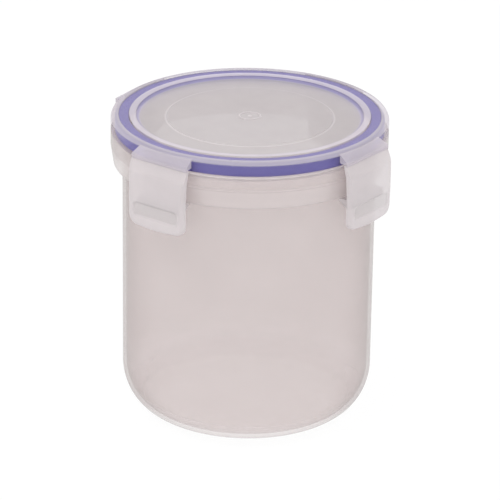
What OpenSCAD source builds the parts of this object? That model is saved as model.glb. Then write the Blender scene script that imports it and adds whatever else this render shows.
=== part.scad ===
// Round clip-lock storage canister: a deep cup, a push-on lid with a soft sealing ring,
// and four flap clips that hang on moulded hinge webs and hook under the cup's collar.
// Millimetres. The origin is the centre of the base, and +Z points up the canister's axis.

/* [Overall] */
// Outer diameter of the lid's skirt and of the cup's collar
lid_d = 116; // [108:1:124]
// Height from the base to the top of the lid's rim
total_h = 131; // [110:1:170]

/* [Cup] */
// Outer diameter of the cup's wall just under the collar
cup_top_d = 106.2; // [105.6:0.1:106.4]
// Outer diameter that the tapering wall would have at the base
cup_base_d = 105; // [103:0.5:106]
// Thickness of the cup's wall
wall_t = 1.5; // [1.2:0.1:1.8]
// Thickness of the cup's floor
floor_t = 1.9; // [1.5:0.1:2.4]
// How far the rounded base corner reaches inwards
corner_w = 17.5; // [12:0.5:20]
// How far the rounded base corner reaches upwards
corner_h = 20.5; // [14:0.5:24]

/* [Collar] */
// Depth of the collar's lower edge below the top of the lid
collar_depth = 20.4; // [18:0.1:22]
// Thickness of the collar's hanging skirt
collar_t = 1.8; // [1.5:0.1:2]
// Inward lean of the collar's lower part
collar_lean = 1.1; // [0.6:0.1:1.4]

/* [Lid] */
// Height of the lid's outer skirt, including its rim
skirt_h = 6.2; // [5.8:0.1:6.8]
// Thickness of the lid's outer skirt
lid_t = 1.75; // [1.5:0.05:1.9]
// Thickness of the lid's rim over the sealing ring
rim_t = 1.2; // [1:0.05:1.5]
// Drop from the rim to the lid's middle panel
panel_drop = 1.5; // [1:0.1:2]
// Radius of the raised disc on the panel
disc_r = 35.1; // [25:0.1:40]
// Height of the raised disc
disc_h = 0.45; // [0.3:0.05:0.6]

/* [Clips] */
// Width of each clip
clip_w = 28.8; // [24:0.2:30]
// Depth of the clips' lower edge below the top of the lid, at its middle
clip_depth = 33.6; // [32:0.1:38]
// Thickness of a clip's plate
clip_t = 2.2; // [2:0.05:2.3]
// Distance from the canister's axis to the outer side of a hinge line
clip_face = 60.8; // [60.4:0.1:61.4]
// How far a closed clip's face stands outside the hinge line, beside its hook
clip_lean = 2.5; // [2:0.1:2.6]
// How far the hook reaches in under the collar
hook_bite = 1.1; // [0.8:0.1:1.3]
// Gap between the hook and the collar's lower edge
hook_gap = 0.5; // [0.45:0.05:0.6]

/* [Hidden] */
$fn = 120;

CLEAR = [0.86, 0.82, 0.81, 0.5];
CLEAR_LID = [0.84, 0.81, 0.82, 0.6];
CLEAR_CLIP = [0.84, 0.82, 0.82, 0.7];
BLUE = [0.30, 0.28, 0.60];

// Directions of the four clips around the axis
FRONT = -90;
RIGHT = 0;
BACK = 90;
LEFT = 180;

lid_r = lid_d / 2;
collar_bottom = total_h - collar_depth;

// Seat of the sealing ring, between the lid's skirt and its inner wall
seat_w = 5.75;
seat_out_r = lid_r - lid_t;
seat_in_r = seat_out_r - seat_w;
seat_top = total_h - rim_t;
seat_chamfer = 1.3;

// Sealing lip of the cup, which stands up into the ring
lip_t = 2.4;
lip_depth = 4.75;
cup_in_r = cup_top_d / 2 - wall_t;
lip_out_r = cup_in_r + lip_t;
lip_top = total_h - lip_depth;

// Flange at the foot of the lip, from which the collar hangs
skirt_gap = 0.4;
flange_top = total_h - skirt_h - skirt_gap;
flange_t = 2.2;

// The two axes of a hinge web: the upper one in the lid's ledge, the lower one in the clip
web_r = 0.3;
web_gap = 0.05;
web_len = 0.7;
web_depth = 4.2;
web_seat_r = web_r + web_gap;
web_x = clip_face - web_seat_r;
web_top_z = total_h - web_depth;
web_low_z = web_top_z - web_len;

// Top of the hook, just under the collar
hook_z = collar_bottom - hook_gap;

// An arc of an ellipse as a list of points
function arc(cx, cy, rx, ry, from, to, steps = 12) =
    [for (i = [0:steps]) let (a = from + (to - from) * i / steps) [cx + rx * cos(a), cy + ry * sin(a)]];

// A list without its first and last item
function inner(items) = [for (i = [1:len(items) - 2]) items[i]];

// A point at radius r and angle a from p
function polar(p, r, a) = [p[0] + r * cos(a), p[1] + r * sin(a)];

// Revolves a list of [radius, height] points
module turned(points) {
    rotate_extrude($fn = 180) polygon(points);
}

// Cuts a flat outline out of a bar that runs along Y, centred on Y = 0
module bar(outline, width) {
    translate([0, width / 2, 0]) rotate([90, 0, 0]) linear_extrude(height = width) polygon(outline);
}

// ---------------------------------------------------------------- cup

// Outer wall radius at height z, on the straight taper
function cup_r(z) = cup_base_d / 2 + (cup_top_d - cup_base_d) / 2 * z / flange_top;

module canister_body() {
    foot_r = 30;
    foot_recess = 0.8;
    corner_r = cup_r(corner_h) - corner_w;
    collar_bend = collar_bottom + 7.5;
    collar_low_r = lid_r - collar_lean;
    edge_r = 0.5;
    lip_round = lip_t / 2;
    outside = concat(
        [[0, foot_recess], [foot_r - foot_recess, foot_recess], [foot_r, 0]],
        arc(corner_r, corner_h, corner_w, corner_h, -90, 0, 24),
        [[cup_r(flange_top - flange_t), flange_top - flange_t],
         [lid_r - collar_t, flange_top - flange_t],
         [lid_r - collar_t, collar_bend],
         [collar_low_r - collar_t, collar_bottom + edge_r]],
        arc(collar_low_r - collar_t + edge_r, collar_bottom + edge_r, edge_r, edge_r, 180, 270, 4),
        arc(collar_low_r - edge_r, collar_bottom + edge_r, edge_r, edge_r, -90, 0, 4),
        [[lid_r, collar_bend]],
        arc(lid_r - edge_r, flange_top - edge_r, edge_r, edge_r, 0, 90, 4),
        [[lip_out_r, flange_top]],
        arc(lip_out_r - lip_round, lip_top - lip_round, lip_round, lip_round, 0, 180, 12)
    );
    inside = concat(
        [[cup_in_r, flange_top]],
        arc(corner_r, corner_h, cup_r(corner_h) - wall_t - corner_r, corner_h - floor_t, 0, -90, 24),
        [[0, floor_t]]
    );
    color(CLEAR) turned(concat(outside, inside));
}

// ---------------------------------------------------------------- lid

// Panel, hollow curve up to the rim, outer skirt, seat of the ring, and the inner wall (the plug)
module lid_shell() {
    rim_in_r = 47.4;
    rim_edge = 0.5;
    panel_r = 44.2;
    panel_z = total_h - panel_drop;
    panel_t = 1.4;
    skirt_low = total_h - skirt_h;
    skirt_edge = 0.3;
    plug_t = 1.5;
    plug_in_r = seat_in_r - plug_t;
    plug_low = total_h - 9;
    plug_edge = 0.5;
    turned(concat(
        [[0, panel_z + disc_h], [disc_r - disc_h, panel_z + disc_h], [disc_r, panel_z], [panel_r, panel_z]],
        arc(panel_r, total_h - rim_edge, rim_in_r - panel_r, panel_drop - rim_edge, -90, 0, 8),
        arc(rim_in_r + rim_edge, total_h - rim_edge, rim_edge, rim_edge, 180, 90, 4),
        arc(seat_out_r, total_h - lid_t, lid_t, lid_t, 90, 0, 8),
        arc(lid_r - skirt_edge, skirt_low + skirt_edge, skirt_edge, skirt_edge, 0, -90, 3),
        [[seat_out_r, skirt_low],
         [seat_out_r, seat_top - seat_chamfer], [seat_out_r - seat_chamfer, seat_top], [seat_in_r, seat_top]],
        arc(seat_in_r - plug_edge, plug_low + plug_edge, plug_edge, plug_edge, 0, -90, 4),
        arc(plug_in_r + plug_edge, plug_low + plug_edge, plug_edge, plug_edge, -90, -180, 4),
        [[plug_in_r, panel_z - panel_t], [0, panel_z - panel_t]]
    ));
}

// Ring and dot that the moulding gate leaves at the middle of the lid
module gate_mark() {
    ring_r = 4.7;
    ring_w = 0.7;
    dot_r = 0.9;
    mark_h = 0.3;
    sunk = 0.2;
    tall = mark_h + sunk;
    translate([0, 0, total_h - panel_drop + disc_h - sunk]) {
        difference() {
            cylinder(r = ring_r, h = tall);
            translate([0, 0, -tall]) cylinder(r = ring_r - ring_w, h = 3 * tall);
        }
        cylinder(r = dot_r, h = tall);
    }
}

// Round seat for one end of a hinge web
module web_seat(z) {
    translate([web_x, clip_w, z]) rotate([90, 0, 0]) cylinder(r = web_seat_r, h = 2 * clip_w, $fn = 32);
}

// Ledge that carries one clip: it starts on the round skirt and ends in a straight hinge line,
// and a cone trims its top so that it follows the rim
module hinge_ledge() {
    low = web_top_z - 0.2;
    top = total_h - 0.6;
    root_half = 13.4;
    root_x = 54;
    brow = lid_r - 0.4;
    tip_half = clip_w / 2;
    tip_x = web_x + web_seat_r / 2;
    tip_top = web_top_z + 0.8;
    skin_x = sqrt(pow(lid_r, 2) - pow(root_half, 2));
    end_r = norm([clip_face, tip_half]);
    side = [[root_x, low], [tip_x, low], [tip_x, tip_top], [brow, top], [root_x, top]];
    plan = [
        [root_x, -root_half], [skin_x, -root_half], [clip_face, -tip_half],
        [clip_face, tip_half], [skin_x, root_half], [root_x, root_half]
    ];
    difference() {
        intersection() {
            bar(side, clip_w);
            linear_extrude(height = total_h) polygon(plan);
            turned([[0, 0], [end_r, 0], [end_r, tip_top], [brow, top], [0, top]]);
        }
        web_seat(web_top_z);
        cylinder(r = lid_r - lid_t / 2, h = total_h);
    }
}

module lid() {
    color(CLEAR_LID) {
        lid_shell();
        gate_mark();
        for (a = [FRONT, RIGHT, BACK, LEFT]) rotate([0, 0, a]) hinge_ledge();
    }
}

// ---------------------------------------------------------------- sealing ring

// Held on the lid's inner wall, a little clear of the skirt, with a groove from below that sits
// over the cup's lip
module sealing_ring() {
    gap = 0.05;
    edge = 0.3;
    shoulder = 0.6;
    out_r = seat_out_r - 1;
    in_r = seat_in_r + gap;
    top = seat_top - gap;
    out_low = flange_top + 0.2;
    in_low = out_low + 1;
    groove_out = lip_out_r + gap;
    groove_in = cup_in_r - gap;
    groove_top = lip_top + gap;
    color(BLUE) turned([
        [in_r, top], [out_r - shoulder, top], [out_r, top - shoulder], [out_r, out_low + edge],
        [out_r - edge, out_low], [groove_out, out_low], [groove_out, groove_top], [groove_in, groove_top],
        [groove_in, in_low], [in_r, in_low]
    ]);
}

// ---------------------------------------------------------------- hinge webs

// Thin strip that joins a clip to the lid; each end is half round, about its own axis
module hinge_web() {
    end_gap = 0.3;
    width = clip_w - 2 * end_gap;
    outline = concat(
        arc(web_x, web_top_z, web_r, web_r, 0, 180, 16),
        arc(web_x, web_low_z, web_r, web_r, 180, 360, 16)
    );
    color(CLEAR_LID) bar(outline, width);
}

// ---------------------------------------------------------------- clips

// Closed clip from its side, as [distance from the axis, height]: from the hinge the plate
// slopes outwards, then runs down past the hook, and turns in a little to its lower edge
function clip_side() =
    let (
        low = total_h - clip_depth,
        seat = [web_x, web_low_z],
        seat_from = 281,
        seat_to = 155,
        knee_x = clip_face + clip_lean,
        shoulder = [knee_x - 0.5, web_low_z - 5.3],
        toe_x = knee_x - 0.5,
        toe_r = 0.8,
        back_edge = 0.3,
        lip = [web_x - 1.15, web_low_z + 0.15]
    )
    concat(
        [polar(seat, web_seat_r, seat_from), shoulder, [knee_x, hook_z]],
        arc(toe_x - toe_r, low + toe_r, toe_r, toe_r, 0, -90, 4),
        [[toe_x - clip_t + back_edge, low], [toe_x - clip_t, low + back_edge], [knee_x - clip_t, hook_z],
         shoulder - [clip_t, 0], lip, polar(seat, web_seat_r, seat_to)]
    );

// Outline of a clip from the front, as [tangent, height]: square at the hinge, with a slightly
// bowed lower edge whose arc runs into two round corners
function clip_front() =
    let (
        low = total_h - clip_depth,
        half = clip_w / 2,
        bow = 1.8,
        bow_r = (half * half + bow * bow) / (2 * bow),
        corner_r = 6.5,
        corner_x = half - corner_r,
        corner_z = low + bow_r - sqrt(pow(bow_r - corner_r, 2) - pow(corner_x, 2)),
        meet = atan2(low + bow_r - corner_z, corner_x)
    )
    concat(
        [[half, total_h], [-half, total_h]],
        arc(-corner_x, corner_z, corner_r, corner_r, 180, 180 + meet, 8),
        inner(arc(0, low + bow_r, bow_r, bow_r, 180 + meet, 360 - meet, 12)),
        arc(corner_x, corner_z, corner_r, corner_r, 360 - meet, 360, 8)
    );

// Outline of a clip from above: its two outer edges are rounded off
function clip_plan() =
    let (
        face = clip_face + clip_lean,
        half = clip_w / 2,
        edge_r = 2,
        inner_x = lid_r - 10
    )
    concat(
        [[inner_x, half], [inner_x, -half]],
        arc(face - edge_r, edge_r - half, edge_r, edge_r, -90, 0, 8),
        arc(face - edge_r, half - edge_r, edge_r, edge_r, 0, 90, 8)
    );

// Shallow thumb recess in the clip's lower half, square to the inward-turning face
module thumb_recess() {
    frame_w = 2.6;
    corner = 2.4;
    depth = 0.55;
    top = hook_z - 1.4;
    low = total_h - clip_depth + 4.6;
    half = clip_w / 2 - frame_w;
    face_x = clip_face + clip_lean;
    tilt = atan(0.5 / (hook_z - total_h + clip_depth));
    outline = concat(
        arc(half - corner, top - corner, corner, corner, 0, 90, 6),
        arc(corner - half, top - corner, corner, corner, 90, 180, 6),
        arc(corner - half, low + corner, corner, corner, 180, 270, 6),
        arc(half - corner, low + corner, corner, corner, 270, 360, 6)
    );
    translate([face_x - depth, 0, hook_z]) rotate([0, tilt, 0]) translate([0, 0, -hook_z])
        rotate([90, 0, 90]) linear_extrude(height = clip_t) polygon(outline);
}

// Hook under the collar: its tip follows the round cup
module clip_hook() {
    tip_r = lid_r - collar_lean - hook_bite;
    tip_edge = 0.3;
    tip_t = 0.9;
    height = 3.4;
    root_r = lid_r + 0.6;
    half = clip_w / 2 - 1.6;
    inner_x = tip_r - 4;
    back_x = clip_face + clip_lean - clip_t + 0.4;
    intersection() {
        turned([
            [tip_r, hook_z - tip_edge], [tip_r + tip_edge, hook_z], [lid_r + 8, hook_z],
            [lid_r + 8, hook_z - height], [root_r, hook_z - height], [tip_r, hook_z - tip_t]
        ]);
        translate([inner_x, -half, hook_z - 2 * height]) cube([back_x - inner_x, 2 * half, 3 * height]);
    }
}

module clip() {
    reach = clip_face + 2 * clip_lean;
    difference() {
        intersection() {
            bar(clip_side(), clip_w);
            rotate([90, 0, 90]) linear_extrude(height = reach) polygon(clip_front());
            linear_extrude(height = total_h) polygon(clip_plan());
        }
        web_seat(web_low_z);
        thumb_recess();
    }
    clip_hook();
}

module clip_facing(direction) {
    color(CLEAR_CLIP) rotate([0, 0, direction]) clip();
}

module hinge_web_facing(direction) {
    rotate([0, 0, direction]) hinge_web();
}

canister_body();
lid();
sealing_ring();
clip_facing(FRONT);  // clip_front
clip_facing(RIGHT);  // clip_right
clip_facing(BACK);  // clip_back
clip_facing(LEFT);  // clip_left
hinge_web_facing(FRONT);  // hinge_web_front
hinge_web_facing(RIGHT);  // hinge_web_right
hinge_web_facing(BACK);  // hinge_web_back
hinge_web_facing(LEFT);  // hinge_web_left
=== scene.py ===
import math

import bmesh
import bpy
from mathutils import Matrix, Vector

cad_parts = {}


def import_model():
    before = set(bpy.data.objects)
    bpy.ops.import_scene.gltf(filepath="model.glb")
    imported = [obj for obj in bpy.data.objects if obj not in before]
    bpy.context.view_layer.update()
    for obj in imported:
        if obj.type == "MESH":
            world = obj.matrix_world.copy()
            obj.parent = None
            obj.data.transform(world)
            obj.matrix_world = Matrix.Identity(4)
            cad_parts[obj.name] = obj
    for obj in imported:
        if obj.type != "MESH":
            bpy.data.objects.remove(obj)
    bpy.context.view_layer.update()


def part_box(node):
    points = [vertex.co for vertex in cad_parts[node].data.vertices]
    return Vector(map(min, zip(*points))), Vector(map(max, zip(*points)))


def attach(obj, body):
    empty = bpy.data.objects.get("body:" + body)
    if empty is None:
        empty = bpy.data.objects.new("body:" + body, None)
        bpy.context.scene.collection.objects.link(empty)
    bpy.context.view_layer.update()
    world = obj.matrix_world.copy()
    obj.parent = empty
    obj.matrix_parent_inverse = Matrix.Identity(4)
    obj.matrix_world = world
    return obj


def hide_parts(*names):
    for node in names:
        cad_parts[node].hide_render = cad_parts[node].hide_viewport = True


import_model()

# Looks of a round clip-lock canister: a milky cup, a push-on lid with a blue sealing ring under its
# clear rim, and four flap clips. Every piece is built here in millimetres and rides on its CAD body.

MM = 0.001
TURN_STEPS = 240
SIDES = {"front": -90, "right": 0, "back": 90, "left": 180}

# Sizes shared by several pieces, in millimetres. They are the CAD's, except that the rim is drawn
# thinner, with a smaller chamfer under it, and the ring 1 mm wider, up against the skirt: the plastics
# are drawn without refraction, which in the real lid lifts and widens the ring. The clips' corners,
# recess walls and hooks differ a little, as said there.
TOTAL_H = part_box("lid")[1].z / MM
LID_R = 58.0
LID_T = 1.75
RIM_T = 0.5
SKIRT_H = 6.2
SEAT_OUT_R = LID_R - LID_T
SEAT_IN_R = SEAT_OUT_R - 5.75
SEAT_TOP = TOTAL_H - RIM_T
SEAT_CHAMFER = 1.0
PANEL_Z = TOTAL_H - 1.5
DISC_R = 35.1
DISC_H = 0.45
CUP_TOP_R = 53.1
CUP_BASE_R = 52.5
WALL_T = 1.5
LIP_T = 2.4
CUP_IN_R = CUP_TOP_R - WALL_T
LIP_OUT_R = CUP_IN_R + LIP_T
LIP_TOP = TOTAL_H - 4.75
FLANGE_TOP = TOTAL_H - SKIRT_H - 0.4
COLLAR_BOTTOM = TOTAL_H - 20.4
COLLAR_LEAN = 1.1
WEB_R = 0.3
WEB_SEAT_R = 0.35
CLIP_FACE = 60.8
WEB_X = CLIP_FACE - WEB_SEAT_R
WEB_TOP_Z = TOTAL_H - 4.2
WEB_LOW_Z = WEB_TOP_Z - 0.7
CLIP_W = 28.8
CLIP_T = 2.2
CLIP_LOW = TOTAL_H - 33.6
KNEE_X = CLIP_FACE + 2.5
HOOK_Z = COLLAR_BOTTOM - 0.5


# ---------------------------------------------------------------- shapes

def arc(cx, cz, rx, rz, start, end, steps=10):
    """Points on an arc of an ellipse, from start to end degrees."""
    angles = [math.radians(start + (end - start) * i / steps) for i in range(steps + 1)]
    return [(cx + rx * math.cos(a), cz + rz * math.sin(a)) for a in angles]


def piece(name, mesh, body, material, sharp=35, turn=0.0):
    """An object with this mesh that rides on a CAD body, turned about the canister's axis."""
    mesh.set_sharp_from_angle(angle=math.radians(sharp))
    obj = bpy.data.objects.new(name, mesh)
    bpy.context.scene.collection.objects.link(obj)
    obj.data.materials.append(material)
    obj.matrix_world = Matrix.Rotation(math.radians(turn), 4, "Z")
    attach(obj, body)
    return obj


def mesh_from(name, vertices, faces):
    """A smooth-shaded mesh from millimetre vertices, with its face normals made to point outwards."""
    bm = bmesh.new()
    made = [bm.verts.new(Vector(v) * MM) for v in vertices]
    for face in faces:
        bm.faces.new([made[i] for i in face])
    bmesh.ops.recalc_face_normals(bm, faces=bm.faces)
    mesh = bpy.data.meshes.new(name)
    bm.to_mesh(mesh)
    bm.free()
    mesh.polygons.foreach_set("use_smooth", [True] * len(mesh.polygons))
    return mesh


def lathe(name, profile, steps=TURN_STEPS):
    """The closed outline of (radius, height) points, turned about the canister's axis."""
    vertices, rings = [], []
    for r, z in profile:
        if r < 1e-6:
            rings.append([len(vertices)] * steps)
            vertices.append((0, 0, z))
            continue
        rings.append(range(len(vertices), len(vertices) + steps))
        for i in range(steps):
            a = 2 * math.pi * i / steps
            vertices.append((r * math.cos(a), r * math.sin(a), z))
    faces = []
    for k, ring in enumerate(rings):
        after = rings[(k + 1) % len(rings)]
        if ring[0] == ring[1] and after[0] == after[1]:
            continue
        for i in range(steps):
            j = (i + 1) % steps
            corners = dict.fromkeys((ring[i], ring[j], after[j], after[i]))
            faces.append(list(corners))
    return mesh_from(name, vertices, faces)


def strip(columns):
    """Vertices and faces of a closed tube through equal loops of points, with both ends capped."""
    size = len(columns[0])
    vertices = [v for column in columns for v in column]
    faces = []
    for c in range(len(columns) - 1):
        for i in range(size):
            j = (i + 1) % size
            a, b = c * size, (c + 1) * size
            faces.append([a + i, a + j, b + j, b + i])
    last = (len(columns) - 1) * size
    faces.append(list(range(size)))
    faces.append(list(range(last, last + size)))
    return vertices, faces


# ---------------------------------------------------------------- cup

def cup_wall_r(z):
    """Radius of the cup's slightly tapered outside at a height."""
    return CUP_BASE_R + (CUP_TOP_R - CUP_BASE_R) * z / FLANGE_TOP


def cup_mesh():
    """The cup, turned from half its outline, which runs from the middle of its underside up the outside
    and down the inside."""
    corner_w, corner_h = 17.5, 20.5
    floor_t, foot_r, foot_recess, foot_edge = 1.9, 30.0, 0.8, 0.5
    collar_t, edge, flange_t, root = 1.8, 0.5, 2.2, 0.6
    wall_heights = (45, 70, 95, 115)
    corner_r = cup_wall_r(corner_h) - corner_w
    bend = COLLAR_BOTTOM + 7.5
    low_r = LID_R - COLLAR_LEAN
    under = FLANGE_TOP - flange_t
    profile = [(0, foot_recess), (foot_r - 2 * foot_recess, foot_recess)]
    profile += arc(foot_r + 0.2, foot_edge, foot_recess, foot_edge, -140, -90, 4)
    profile += arc(corner_r, corner_h, corner_w, corner_h, -88, 0, 40)
    profile += [(cup_wall_r(z), z) for z in wall_heights]
    profile += arc(cup_wall_r(under) + root, under - root, root, root, 180, 90, 4)
    profile += arc(LID_R - collar_t - edge, under - edge, edge, edge, 90, 0, 4)
    profile += [(LID_R - collar_t, bend + 0.6), (LID_R - collar_t - 0.1, bend - 0.6)]
    profile += [(low_r - collar_t, COLLAR_BOTTOM + edge)]
    profile += arc(low_r - collar_t + edge, COLLAR_BOTTOM + edge, edge, edge, 200, 270, 4)
    profile += arc(low_r - edge, COLLAR_BOTTOM + edge, edge, edge, -90, 0, 5)
    profile += [(LID_R - 0.1, bend - 0.6), (LID_R, bend + 0.2)]
    profile += arc(LID_R - edge, FLANGE_TOP - edge, edge, edge, 0, 90, 5)
    profile += [(LIP_OUT_R + 0.3, FLANGE_TOP), (LIP_OUT_R, FLANGE_TOP + 0.3)]
    lip = LIP_T / 2
    profile += arc(LIP_OUT_R - lip, LIP_TOP - lip, lip, lip, 0, 180, 14)
    profile += [(CUP_IN_R, FLANGE_TOP)]
    profile += [(cup_wall_r(z) - WALL_T, z) for z in wall_heights[::-1]]
    inner_w = cup_wall_r(corner_h) - WALL_T - corner_r
    profile += arc(corner_r, corner_h, inner_w, corner_h - floor_t, 0, -90, 40)
    profile += [(0, floor_t)]
    return lathe("cup_shell", profile)


# ---------------------------------------------------------------- lid

def lid_mesh():
    """The lid, turned from half its outline, which runs from the middle of its top out over the rim and
    back underneath."""
    rim_in_r, rim_edge, panel_r, panel_t = 47.4, 0.5, 44.2, 1.4
    skirt_low = TOTAL_H - SKIRT_H
    edge, plug_t, plug_edge, plug_root = 0.3, 1.5, 0.5, 1.2
    plug_low = TOTAL_H - 9.0
    plug_in_r = SEAT_IN_R - plug_t
    disc_top = PANEL_Z + DISC_H
    under = PANEL_Z - panel_t
    profile = [(0, disc_top), (DISC_R - 2 * DISC_H, disc_top)]
    profile += arc(DISC_R - 2 * DISC_H, PANEL_Z + DISC_H / 2, DISC_H, DISC_H / 2, 90, 10, 5)
    profile += arc(DISC_R, PANEL_Z + DISC_H / 2, DISC_H, DISC_H / 2, 190, 270, 5)
    profile += [(panel_r - 1.0, PANEL_Z)]
    profile += arc(panel_r, TOTAL_H - rim_edge, rim_in_r - panel_r, TOTAL_H - rim_edge - PANEL_Z, -90, 0, 12)
    profile += arc(rim_in_r + rim_edge, TOTAL_H - rim_edge, rim_edge, rim_edge, 175, 90, 6)
    profile += arc(SEAT_OUT_R, TOTAL_H - LID_T, LID_T, LID_T, 90, 0, 14)
    profile += arc(LID_R - edge, skirt_low + edge, edge, edge, 0, -90, 4)
    profile += [(SEAT_OUT_R, skirt_low)]
    profile += [(SEAT_OUT_R, SEAT_TOP - SEAT_CHAMFER), (SEAT_OUT_R - SEAT_CHAMFER, SEAT_TOP)]
    profile += [(SEAT_IN_R, SEAT_TOP)]
    profile += arc(SEAT_IN_R - plug_edge, plug_low + plug_edge, plug_edge, plug_edge, 0, -90, 4)
    profile += arc(plug_in_r + plug_edge, plug_low + plug_edge, plug_edge, plug_edge, -90, -180, 4)
    profile += arc(plug_in_r - plug_root, under - plug_root, plug_root, plug_root, 0, 90, 6)
    profile += [(0, under)]
    return lathe("lid_shell", profile)


def gate_ring_mesh():
    """Raised ring left by the moulding gate, half sunk in the disc."""
    top, r, w, h = PANEL_Z + DISC_H, 4.35, 0.7, 0.3
    return lathe("gate_ring", [(r + x, top + z) for x, z in arc(0, 0, w / 2, h, 180, -180, 20)[:-1]])


def gate_dot_mesh():
    top, r, h = PANEL_Z + DISC_H, 0.9, 0.3
    return lathe("gate_dot", [(0, top + h)] + arc(0, top, r, h, 70, -70, 12) + [(0, top - h)], 48)


def ledge_mesh():
    """Ledge on the skirt that carries a clip, from the round skirt out to the straight hinge line."""
    low, top, brow = WEB_TOP_Z - 0.2, TOTAL_H - 0.6, LID_R - 0.4
    root_half, tip_half = 13.4, CLIP_W / 2
    skin_x = math.sqrt(LID_R ** 2 - root_half ** 2)
    tip_x, tip_top = WEB_X + WEB_SEAT_R / 2, WEB_TOP_Z + 0.8
    end_r = math.hypot(CLIP_FACE, tip_half)
    seat_start = math.degrees(math.asin((low - WEB_TOP_Z) / WEB_SEAT_R))
    seat = arc(WEB_X, WEB_TOP_Z, WEB_SEAT_R, WEB_SEAT_R, 180 - seat_start, 60, 10)
    steps, top_steps = 32, 8
    soft_in, soft_down, nip = 0.12, 0.25, 0.03

    def half(x):
        flare = (x - skin_x) / (CLIP_FACE - skin_x)
        return root_half + (tip_half - root_half) * max(0.0, min(1.0, flare))

    def top_z(x, y):
        slant = top + (tip_top - top) * (x - brow) / (tip_x - brow)
        cone = top + (tip_top - top) * (math.hypot(x, y) - brow) / (end_r - brow)
        return min(top, slant, cone)

    columns = []
    for i in range(steps + 1):
        f = 2 * i / steps - 1
        skirt_x = math.sqrt((LID_R - 0.05) ** 2 - (f * root_half) ** 2)
        rim_x = math.sqrt((LID_R - 0.6) ** 2 - (f * root_half) ** 2)
        loop = [(skirt_x, low)] + seat + [(tip_x, tip_top - soft_down)]
        for k in range(top_steps + 1):
            x = tip_x - soft_in + (rim_x - tip_x + soft_in) * k / top_steps
            loop.append((x, top_z(x, f * half(x)) - (nip if k == 0 else 0)))
        loop += [(rim_x, loop[-1][1] - 0.2), (skirt_x, TOTAL_H - LID_T)]
        columns.append([(x, f * half(x), z) for x, z in loop])
    return mesh_from("ledge", *strip(columns))


# ---------------------------------------------------------------- sealing ring

def ring_mesh():
    """Sealing ring with a groove under it for the cup's lip and an outer face that slopes in to its top.
    It is soft, so its shoulder and foot press a tenth of a millimetre or so into the lid and the cup."""
    gap, edge = 0.05, 0.3
    top_r, out_r, slope = SEAT_OUT_R - 1.6, SEAT_OUT_R - gap, 1.1
    in_r, top = SEAT_IN_R + gap, SEAT_TOP - gap
    out_low = FLANGE_TOP + gap
    in_low = out_low + 1
    groove_out, groove_in, groove_top = LIP_OUT_R + gap, CUP_IN_R - gap, LIP_TOP + gap
    profile = arc(in_r + edge, top - edge, edge, edge, 180, 90, 4)
    profile += arc(top_r, top - slope, out_r - top_r, slope, 90, 0, 8)
    profile += arc(out_r - edge, out_low + edge, edge, edge, 0, -90, 4)
    profile += [(groove_out, out_low), (groove_out, groove_top), (groove_in, groove_top)]
    profile += [(groove_in, in_low), (in_r + 0.2, in_low), (in_r, in_low + 0.2)]
    return lathe("sealing_ring_soft", profile)


# ---------------------------------------------------------------- clips and webs

def web_mesh():
    """Hinge web: a thin strip whose upper and lower edges are half round, about its two axes."""
    width, parts = CLIP_W - 0.6, 8
    loop = arc(WEB_X, WEB_TOP_Z, WEB_R, WEB_R, 0, 180, 10) + arc(WEB_X, WEB_LOW_Z, WEB_R, WEB_R, 180, 360, 10)
    columns = [[(x, width * (i / parts - 0.5), z) for x, z in loop] for i in range(parts + 1)]
    return mesh_from("web", *strip(columns))


# Outline of a clip seen from the front: round lower corners joined by a slightly bowed edge. The
# corners are drawn a little tighter than the CAD's, and the edge a little straighter. MEET is the angle
# below the horizontal at which a corner's arc runs into the bowed edge.
CLIP_HALF = CLIP_W / 2
BOW = 1.4
BOW_R = (CLIP_HALF ** 2 + BOW ** 2) / (2 * BOW)
CORNER_R = 4.5
CORNER_T = CLIP_HALF - CORNER_R
CORNER_Z = CLIP_LOW + BOW_R - math.sqrt((BOW_R - CORNER_R) ** 2 - CORNER_T ** 2)
MEET = math.atan2(CLIP_LOW + BOW_R - CORNER_Z, CORNER_T)


def lower_edge(t):
    """Height of the clip's lower edge at distance t from its middle."""
    t = abs(t)
    if t <= BOW_R * math.cos(MEET):
        return CLIP_LOW + BOW_R - math.sqrt(BOW_R ** 2 - t ** 2)
    return CORNER_Z - math.sqrt(max(0.0, CORNER_R ** 2 - (t - CORNER_T) ** 2))


def quarter_round(distance, radius):
    """How far a rounded edge of this radius has fallen at this distance in from the edge."""
    rest = max(0.0, radius - max(0.0, distance))
    return radius - math.sqrt(radius ** 2 - rest ** 2)


def edge_fall(t, z):
    """How far the clip's face falls away at its rounded side and lower edges."""
    side_r, low_r = 2.0, 0.9
    t = abs(t)
    around = math.atan2(CORNER_Z - z, t - CORNER_T)
    if t > CORNER_T and 0 <= around <= MEET:
        radius = side_r + (low_r - side_r) * around / MEET
        return quarter_round(CORNER_R - math.hypot(t - CORNER_T, CORNER_Z - z), radius)
    from_low = BOW_R - math.hypot(t, CLIP_LOW + BOW_R - z)
    return max(quarter_round(CLIP_HALF - t, side_r), quarter_round(from_low, low_r))


def along(points, z):
    """x at height z on a line through (x, z) points listed from the top down."""
    for (x0, z0), (x1, z1) in zip(points, points[1:]):
        if z >= z1:
            return x0 + (x1 - x0) * (z0 - z) / (z0 - z1)
    return points[-1][0]


def softened(points, z, reach=0.6, samples=5):
    """The same, with its corners rounded by averaging over a short height."""
    offsets = [reach * (2 * i / (samples - 1) - 1) for i in range(samples)]
    return sum(along(points, z + d) for d in offsets) / samples


# Thumb recess in a clip's face
RECESS_HALF = CLIP_HALF - 2.6
RECESS_TOP = HOOK_Z - 1.4
RECESS_LOW = CLIP_LOW + 4.6
RECESS_WALL = 0.9


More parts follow.
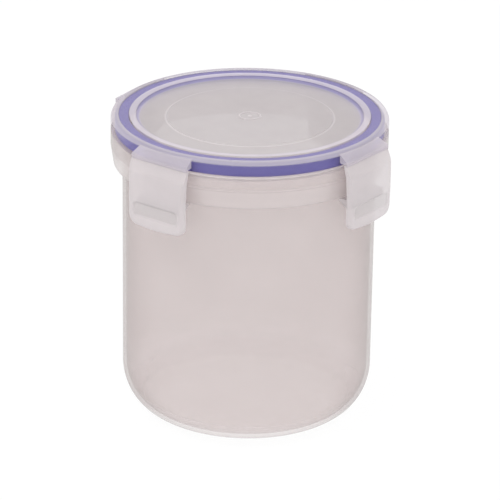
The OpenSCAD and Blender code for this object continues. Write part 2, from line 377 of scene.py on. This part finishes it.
def recess_depth(t, z):
    """Depth of the shallow thumb recess. Its walls slope, where the CAD's stand upright."""
    corner, deep = 2.4, 0.55
    across = abs(t) - (RECESS_HALF - corner)
    up = abs(z - (RECESS_TOP + RECESS_LOW) / 2) - ((RECESS_TOP - RECESS_LOW) / 2 - corner)
    inside = corner - math.hypot(max(across, 0), max(up, 0)) - min(max(across, up), 0)
    share = max(0.0, min(1.0, inside / RECESS_WALL))
    return deep * share * share * (3 - 2 * share)


def clip_mesh():
    """Flap clip with its hook: columns of points down its face and back up behind, side by side."""
    seat = arc(WEB_X, WEB_LOW_Z, WEB_SEAT_R, WEB_SEAT_R, 155, 281, 8)
    start_x, start_z = seat[-1]
    shoulder_z = WEB_LOW_Z - 5.3
    end_x, least_t = KNEE_X - 0.5, 0.15
    above_x, above_z = start_x - 2.3, start_z + 5.0
    face = [(above_x, above_z), (start_x, start_z), (end_x, shoulder_z), (KNEE_X, HOOK_Z), (end_x, CLIP_LOW)]
    lip_x, lip_z = WEB_X - 1.15, WEB_LOW_Z + 0.15
    back = [(lip_x, lip_z), (end_x - CLIP_T, shoulder_z), (KNEE_X - CLIP_T, HOOK_Z)]
    back += [(end_x - CLIP_T, CLIP_LOW)]
    rows = 110
    middle_steps, corner_steps = 56, 16
    turn_t = BOW_R * math.cos(MEET)
    middle = [turn_t * (2 * i / middle_steps - 1) for i in range(middle_steps + 1)]
    corner = [CORNER_T + CORNER_R * math.cos(MEET * i / corner_steps) for i in range(corner_steps)]
    tangents = [-t for t in corner] + middle + corner[::-1]

    def front_x(t, z):
        if z > HOOK_Z:
            x = min(softened(face, z), KNEE_X - edge_fall(t, z))
        else:
            x = softened(face, z) - edge_fall(t, z)
        return max(x - recess_depth(t, z), along(back, z) + least_t)

    columns = []
    for t in tangents:
        low = lower_edge(t)
        heights = [start_z + (low - start_z) * i / rows for i in range(rows + 1)]
        loop = [(start_x, t, start_z)] + [(front_x(t, z), t, z) for z in heights[1:]]
        loop += [(along(back, z), t, z) for z in heights[::-1]]
        loop += [(x, t, z) for x, z in [(lip_x, lip_z)] + seat[:-1]]
        columns.append(loop)
    vertices, faces = strip(columns)
    count = len(vertices)
    hook_vertices, hook_faces = hook(back)
    vertices += hook_vertices
    faces += [[count + i for i in f] for f in hook_faces]
    return mesh_from("clip", vertices, faces)


def hook(back):
    """Bar behind the clip's plate that hooks under the collar; its tip follows the round cup. It is
    drawn 2 mm shorter at each end than in the CAD."""
    bite, height, tip_height, chamfer = 1.1, 3.4, 0.9, 0.3
    tip_r, heel_r, half = LID_R - COLLAR_LEAN - bite, LID_R + 0.6, CLIP_HALF - 3.6
    points = [(tip_r, HOOK_Z - chamfer), (tip_r + chamfer, HOOK_Z)]
    low = HOOK_Z - height
    columns = []
    steps = 20
    for i in range(steps + 1):
        t = half * (2 * i / steps - 1)
        loop = [(math.sqrt(r * r - t * t), t, z) for r, z in points]
        loop += [(along(back, HOOK_Z), t, HOOK_Z), (along(back, low), t, low)]
        loop += [(math.sqrt(heel_r ** 2 - t * t), t, low)]
        loop += [(math.sqrt(tip_r ** 2 - t * t), t, HOOK_Z - tip_height)]
        columns.append(loop)
    return strip(columns)


# ---------------------------------------------------------------- materials

class Tree:
    """Short helper around a material's node tree."""

    def __init__(self, name):
        self.material = bpy.data.materials.new(name)
        self.material.use_nodes = True
        self.nodes = self.material.node_tree.nodes
        self.nodes.clear()
        self.output = self.nodes.new("ShaderNodeOutputMaterial")

    def link(self, source, target):
        self.material.node_tree.links.new(source, target)

    def put(self, target, value):
        """Links a socket, or sets a plain value."""
        if isinstance(value, bpy.types.NodeSocket):
            self.link(value, target)
        else:
            target.default_value = value

    def math(self, operation, a, b=0.0, c=0.0, clamp=False):
        n = self.nodes.new("ShaderNodeMath")
        n.operation = operation
        n.use_clamp = clamp
        for target, value in zip(n.inputs, (a, b, c)):
            self.put(target, value)
        return n.outputs[0]

    def place(self):
        return self.nodes.new("ShaderNodeTexCoord").outputs["Object"]

    def noise(self, scale, detail=3.0, roughness=0.55, stretch=(1, 1, 1)):
        """Noise in the piece's own space, with a different cut through it for each object."""
        mapping = self.nodes.new("ShaderNodeMapping")
        mapping.inputs["Scale"].default_value = stretch
        self.link(self.place(), mapping.inputs["Vector"])
        n = self.nodes.new("ShaderNodeTexNoise")
        n.noise_dimensions = "4D"
        n.inputs["Scale"].default_value = scale
        n.inputs["Detail"].default_value = detail
        n.inputs["Roughness"].default_value = roughness
        self.link(mapping.outputs[0], n.inputs["Vector"])
        seed = self.nodes.new("ShaderNodeObjectInfo").outputs["Random"]
        self.link(self.math("MULTIPLY", seed, 7.0), n.inputs["W"])
        return n.outputs["Fac"]

    def spread(self, value, low, high):
        """A 0 to 1 value spread over low to high."""
        return self.math("MULTIPLY_ADD", value, high - low, low)

    def step_up(self, value, start, end):
        """0 below start, 1 above end, smooth between."""
        n = self.nodes.new("ShaderNodeMapRange")
        n.interpolation_type = "SMOOTHSTEP"
        self.put(n.inputs["Value"], value)
        n.inputs["From Min"].default_value = start
        n.inputs["From Max"].default_value = end
        return n.outputs["Result"]

    def colour(self, factor, a, b):
        n = self.nodes.new("ShaderNodeMix")
        n.data_type = "RGBA"
        self.put(n.inputs["Factor"], factor)
        self.put(n.inputs["A"], (*a, 1) if isinstance(a, tuple) else a)
        self.put(n.inputs["B"], (*b, 1) if isinstance(b, tuple) else b)
        return n.outputs["Result"]

    def mottled(self, a, b):
        """A colour that wanders slowly between a and b."""
        return self.colour(self.noise(24, 3.0), a, b)

    def inside(self, value, low, high, blend):
        """1 where value lies between low and high, 0 outside, with a smooth blend within each end."""
        return self.math("MULTIPLY", self.step_up(value, low, low + blend),
                         self.step_up(value, high, high - blend))

    def bump(self, height, strength, distance):
        n = self.nodes.new("ShaderNodeBump")
        n.inputs["Strength"].default_value = strength
        n.inputs["Distance"].default_value = distance
        self.link(height, n.inputs["Height"])
        return n.outputs[0]

    def principled(self, colour, roughness, normal, ior, level=0.5):
        n = self.nodes.new("ShaderNodeBsdfPrincipled")
        self.put(n.inputs["Base Color"], colour)
        self.put(n.inputs["Roughness"], roughness)
        n.inputs["IOR"].default_value = ior
        n.inputs["Specular IOR Level"].default_value = level
        self.link(normal, n.inputs["Normal"])
        return n

    def radius_and_height(self):
        """Distance from the canister's axis and height, in millimetres, for a piece that isn't turned."""
        split = self.nodes.new("ShaderNodeSeparateXYZ")
        self.link(self.place(), split.inputs[0])
        square = self.math("MULTIPLY_ADD", split.outputs[1], split.outputs[1],
                           self.math("MULTIPLY", split.outputs[0], split.outputs[0]))
        radius = self.math("MULTIPLY", self.math("SQRT", square), 1 / MM)
        return radius, self.math("MULTIPLY", split.outputs[2], 1 / MM)


def milky(tree, colour, tint, haze, grazing, edge_shade_colour, roughness, shine, ripple, edge_amount=1.0):
    """Finishes a see-through plastic. Haze is the share of light that a face stops when seen square on,
    and grazing is how much that grows where the face turns away, for the longer path through the plastic,
    towards a darker edge colour, painted shade for the dark edges that refraction gives.
    Edge_amount weakens both. Tint colours what shines through, and ripple is the strength of the surface's
    unevenness."""
    facing = tree.nodes.new("ShaderNodeLayerWeight")
    facing.inputs["Blend"].default_value = 0.5
    edge = tree.math("POWER", facing.outputs["Facing"], 4.0)
    edge = tree.math("MULTIPLY", edge, edge_amount)
    cloud = tree.spread(tree.noise(38, 4.0), 0.86, 1.14)
    share = tree.math("MULTIPLY", haze, cloud)
    share = tree.math("MULTIPLY_ADD", edge, grazing, share, clamp=True)
    grain = tree.noise(420, 2.0)
    flow = tree.noise(55, 3.0, stretch=(1, 1, 0.25))
    normal = tree.bump(tree.math("MULTIPLY_ADD", grain, 0.35, flow), ripple, 0.12 * MM)
    rough = tree.spread(tree.noise(160, 2.0), roughness * 0.8, roughness * 1.25)
    # Faces seen at a grazing angle turn towards a darker colour: painted shade for the dark edges of
    # refraction.
    body = tree.colour(edge, colour, edge_shade_colour)
    solid = tree.principled(body, rough, normal, 1.5, shine)
    clear = tree.nodes.new("ShaderNodeBsdfTransparent")
    clear.inputs["Color"].default_value = (*tint, 1)
    mix = tree.nodes.new("ShaderNodeMixShader")
    tree.link(share, mix.inputs["Fac"])
    tree.link(clear.outputs[0], mix.inputs[1])
    tree.link(solid.outputs[0], mix.inputs[2])
    tree.link(mix.outputs[0], tree.output.inputs["Surface"])
    return tree.material


def cup_material():
    """Milky wall, clearer near the foot except in the rounded corner; the collar and flange are
    thicker and whiter, above all low down. The rounded corner is also hazier and whiter, a painted
    highlight on its inner fillet, which faces the lamps."""
    tree = Tree("cup_plastic")
    radius, height = tree.radius_and_height()
    collar = tree.step_up(radius, 53.4, 54.4)
    band = tree.math("MULTIPLY", collar, tree.step_up(height, COLLAR_BOTTOM + 8.2, COLLAR_BOTTOM + 7.0))
    foot = tree.step_up(height, 24.0, 4.0)
    # The rounded corner near the foot: its extra haze and whiter colour are a painted highlight on the inner
    # fillet.
    corner = tree.math("MULTIPLY", tree.step_up(radius, 42.0, 45.0), tree.step_up(radius, 50.0, 47.5))
    corner = tree.math("MULTIPLY", corner, tree.step_up(height, 14.0, 10.0))
    haze = tree.math("MULTIPLY_ADD", collar, 0.04, 0.23)
    haze = tree.math("MULTIPLY_ADD", band, 0.10, haze)
    haze = tree.math("MULTIPLY_ADD", foot, -0.05, haze)
    haze = tree.math("MULTIPLY_ADD", corner, 0.10, haze)
    wall = tree.mottled((0.590, 0.530, 0.525), (0.630, 0.565, 0.560))
    # Whiter colour of the thick collar, also used in the rounded corner as a painted highlight.
    thick_and_highlit = tree.mottled((0.80, 0.75, 0.75), (0.84, 0.79, 0.79))
    colour = tree.colour(tree.math("MAXIMUM", collar, corner), wall, thick_and_highlit)
    outside = tree.step_up(radius, 33.0, 46.0)
    return milky(tree, colour, tint=(0.987, 0.968, 0.965), haze=haze, grazing=0.80,
                 edge_shade_colour=(0.35, 0.315, 0.30), roughness=0.2, shine=0.35, ripple=0.35,
                 edge_amount=outside)


def lid_material():
    """Clear over the sealing ring, hazier in the middle panel and on the rounded outer edge. The top of the
    wall between rim and panel is painted the ring's blue, a painted reflection of the ring's light, and the
    raised disc's edge is painted lighter and hazier all round, a painted highlight."""
    tree = Tree("lid_plastic")
    radius, height = tree.radius_and_height()
    panel_haze, rim_haze, skirt_haze, brow_haze, ridge_highlight_haze = 0.55, 0.08, 0.04, 0.50, 0.08
    shelf = tree.step_up(radius, 45.5, 47.0)
    rim = tree.step_up(radius, 50.1, 50.6)
    skirt = tree.math("MULTIPLY", tree.step_up(radius, 54.5, 56.0),
                      tree.step_up(height, TOTAL_H - 1.2, TOTAL_H - 2.6))
    brow = tree.math("MULTIPLY", tree.step_up(radius, 54.4, 55.1),
                     tree.step_up(height, TOTAL_H - 1.7, TOTAL_H - 1.1))
    # Painted highlight: the edge of the raised disc is painted lighter and a little hazier all round.
    ridge_highlight = tree.math("MULTIPLY", tree.step_up(radius, DISC_R - 0.9, DISC_R - 0.3),
                      tree.step_up(radius, DISC_R + 0.7, DISC_R + 0.2))
    # Painted reflection: the top of the wall between rim and panel is painted the ring's blue, for the ring's
    # light bouncing there.
    painted_ring_bounce = tree.math("MULTIPLY", tree.step_up(height, TOTAL_H - 0.15, TOTAL_H - 0.4),
                           tree.math("MULTIPLY", tree.step_up(radius, 45.6, 46.8),
                                     tree.step_up(radius, 48.2, 47.8)))
    haze = tree.math("MULTIPLY_ADD", rim, rim_haze - panel_haze, panel_haze)
    haze = tree.math("MULTIPLY_ADD", skirt, skirt_haze - rim_haze, haze)
    haze = tree.math("MULTIPLY_ADD", brow, brow_haze, haze)
    haze = tree.math("MULTIPLY_ADD", ridge_highlight, ridge_highlight_haze, haze)
    panel = tree.mottled((0.570, 0.535, 0.530), (0.605, 0.570, 0.565))
    # The disc's edge gets a lighter colour, a painted highlight.
    panel = tree.colour(ridge_highlight, panel, (0.68, 0.64, 0.64))
    light = tree.mottled((0.84, 0.78, 0.84), (0.88, 0.82, 0.88))
    outer = tree.mottled((0.58, 0.535, 0.585), (0.62, 0.575, 0.625))
    colour = tree.colour(rim, tree.colour(shelf, panel, light), outer)
    # The ring's blue painted onto the wall's top, a painted reflection.
    colour = tree.colour(painted_ring_bounce, colour, (0.45, 0.42, 0.64))
    return milky(tree, colour, tint=(0.985, 0.972, 0.98), haze=haze, grazing=0.30,
                 edge_shade_colour=(0.52, 0.47, 0.53), roughness=0.3, shine=0.4, ripple=0.08)


def ledge_material():
    """Thicker plastic of the ledges and webs, which still lets some of the ring's blue through."""
    tree = Tree("lid_ledges")
    colour = tree.mottled((0.72, 0.67, 0.73), (0.77, 0.72, 0.78))
    return milky(tree, colour, tint=(0.985, 0.972, 0.98), haze=0.48, grazing=0.30,
                 edge_shade_colour=(0.66, 0.61, 0.67), roughness=0.3, shine=0.4, ripple=0.2)


def clip_material():
    """Whiter plastic, a little greyer where the thumb recess makes the plate thinner."""
    tree = Tree("clip_plastic")
    split = tree.nodes.new("ShaderNodeSeparateXYZ")
    tree.link(tree.place(), split.inputs[0])
    across = tree.math("MULTIPLY", split.outputs[1], 1 / MM)
    height = tree.math("MULTIPLY", split.outputs[2], 1 / MM)
    recess = tree.math("MULTIPLY", tree.inside(across, -RECESS_HALF, RECESS_HALF, RECESS_WALL),
                       tree.inside(height, RECESS_LOW, RECESS_TOP, RECESS_WALL))
    plate = tree.mottled((0.75, 0.70, 0.715), (0.79, 0.74, 0.755))
    thin = tree.mottled((0.67, 0.630, 0.638), (0.71, 0.670, 0.678))
    colour = tree.colour(recess, plate, thin)
    return milky(tree, colour, tint=(0.99, 0.98, 0.98), haze=0.62, grazing=0.30,
                 edge_shade_colour=(0.70, 0.65, 0.67), roughness=0.3, shine=0.5, ripple=0.2)


def ring_material():
    """Smooth blue-violet silicone with a fine grain."""
    tree = Tree("ring_silicone")
    colour = tree.colour(tree.noise(60, 4.0), (0.138, 0.128, 0.425), (0.160, 0.148, 0.470))
    normal = tree.bump(tree.noise(700, 2.0), 0.25, 0.08 * MM)
    soft = tree.principled(colour, tree.spread(tree.noise(220, 2.0), 0.3, 0.42), normal, 1.42)
    soft.inputs["Subsurface Weight"].default_value = 0.1
    soft.inputs["Subsurface Radius"].default_value = (0.5 * MM, 0.4 * MM, 1.0 * MM)
    tree.link(soft.outputs[0], tree.output.inputs["Surface"])
    return tree.material


# ---------------------------------------------------------------- the object

def build():
    cup, lid, ledge, clip = cup_material(), lid_material(), ledge_material(), clip_material()
    shell = piece("cup_shell", cup_mesh(), "cup", cup)
    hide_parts("canister_body")
    top = piece("lid_shell", lid_mesh(), "lid_group", lid)
    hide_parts("lid")
    piece("gate_ring", gate_ring_mesh(), "lid_group", clip)
    piece("gate_dot", gate_dot_mesh(), "lid_group", clip)
    soft = piece("sealing_ring_soft", ring_mesh(), "lid_group", ring_material())
    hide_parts("sealing_ring")
    one_ledge, one_web, one_clip = ledge_mesh(), web_mesh(), clip_mesh()
    for side, turn in SIDES.items():
        piece(f"ledge_{side}", one_ledge.copy(), "lid_group", ledge, turn=turn)
        web = piece(f"web_{side}", one_web.copy(), f"{side}_web", ledge, turn=turn)
        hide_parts(f"hinge_web_{side}")
        flap = piece(f"flap_{side}", one_clip.copy(), f"{side}_clip", clip, turn=turn)
        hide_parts(f"clip_{side}")


# ---------------------------------------------------------------- stage

def floor():
    """A pale, evenly lit floor, bright enough to pass for a white sweep."""
    bm = bmesh.new()
    bmesh.ops.create_grid(bm, x_segments=8, y_segments=8, size=12.0)
    mesh = bpy.data.meshes.new("floor")
    bm.to_mesh(mesh)
    bm.free()
    tree = Tree("floor_paper")
    colour = tree.colour(tree.noise(3.0, 4.0), (0.88, 0.88, 0.88), (0.92, 0.92, 0.92))
    paper = tree.nodes.new("ShaderNodeBsdfDiffuse")
    tree.put(paper.inputs["Color"], colour)
    glow = tree.nodes.new("ShaderNodeEmission")
    glow.inputs["Strength"].default_value = 1.02
    mix = tree.nodes.new("ShaderNodeMixShader")
    mix.inputs["Fac"].default_value = 0.93
    tree.link(paper.outputs[0], mix.inputs[1])
    tree.link(glow.outputs[0], mix.inputs[2])
    tree.link(mix.outputs[0], tree.output.inputs["Surface"])
    obj = bpy.data.objects.new("floor", mesh)
    obj.data.materials.append(tree.material)
    bpy.context.scene.collection.objects.link(obj)


def softbox(name, azimuth, elevation, distance, size, power):
    """Rectangular area light, a number of metres away, that points at the middle of the canister."""
    data = bpy.data.lights.new(name, "AREA")
    data.shape = "RECTANGLE"
    data.size, data.size_y = size
    data.energy = power
    obj = bpy.data.objects.new(name, data)
    a, e = math.radians(azimuth), math.radians(elevation)
    out = Vector((math.sin(a) * math.cos(e), -math.cos(a) * math.cos(e), math.sin(e)))
    obj.location = Vector((0, 0, TOTAL_H * MM / 2)) + out * distance
    obj.rotation_euler = out.to_track_quat("Z", "Y").to_euler()
    bpy.context.scene.collection.objects.link(obj)


def world():
    """Even white surround."""
    made = bpy.data.worlds.new("studio")
    made.use_nodes = True
    made.node_tree.nodes["Background"].inputs["Color"].default_value = (1, 1, 1, 1)
    made.node_tree.nodes["Background"].inputs["Strength"].default_value = 0.8
    bpy.context.scene.world = made


def camera():
    """Long lens that looks down at the canister's middle, below its lid. Angles are in degrees, distances
    in metres and the lens in millimetres."""
    azimuth, elevation, roll, distance = 37.2, 22.13, 0.835, 1.74
    below_lid, lens = 0.0568, 301.0
    a, e = math.radians(azimuth), math.radians(elevation)
    out = Vector((math.sin(a) * math.cos(e), -math.cos(a) * math.cos(e), math.sin(e)))
    turn = out.to_track_quat("Z", "Y").to_matrix().to_4x4() @ Matrix.Rotation(math.radians(roll), 4, "Z")
    aim = Vector((0, 0, TOTAL_H * MM)) + turn.to_3x3() @ Vector((0, -below_lid, 0))
    data = bpy.data.cameras.new("camera")
    data.sensor_width = 36.0
    data.lens = lens
    data.clip_end = 100.0
    obj = bpy.data.objects.new("camera", data)
    obj.matrix_world = Matrix.Translation(aim + out * distance) @ turn
    bpy.context.scene.collection.objects.link(obj)
    bpy.context.scene.camera = obj


def studio():
    scene = bpy.context.scene
    scene.cycles.transparent_max_bounces = 40
    scene.cycles.max_bounces = 12
    scene.view_settings.view_transform = "Standard"
    floor()
    world()
    softbox("key", 0, 60, 1.4, (0.7, 0.7), 2)
    softbox("side_left", -32, 56, 1.2, (0.3, 0.3), 2.5)
    softbox("side_right", 107, 56, 1.2, (0.3, 0.3), 2.5)
    camera()


build()
studio()
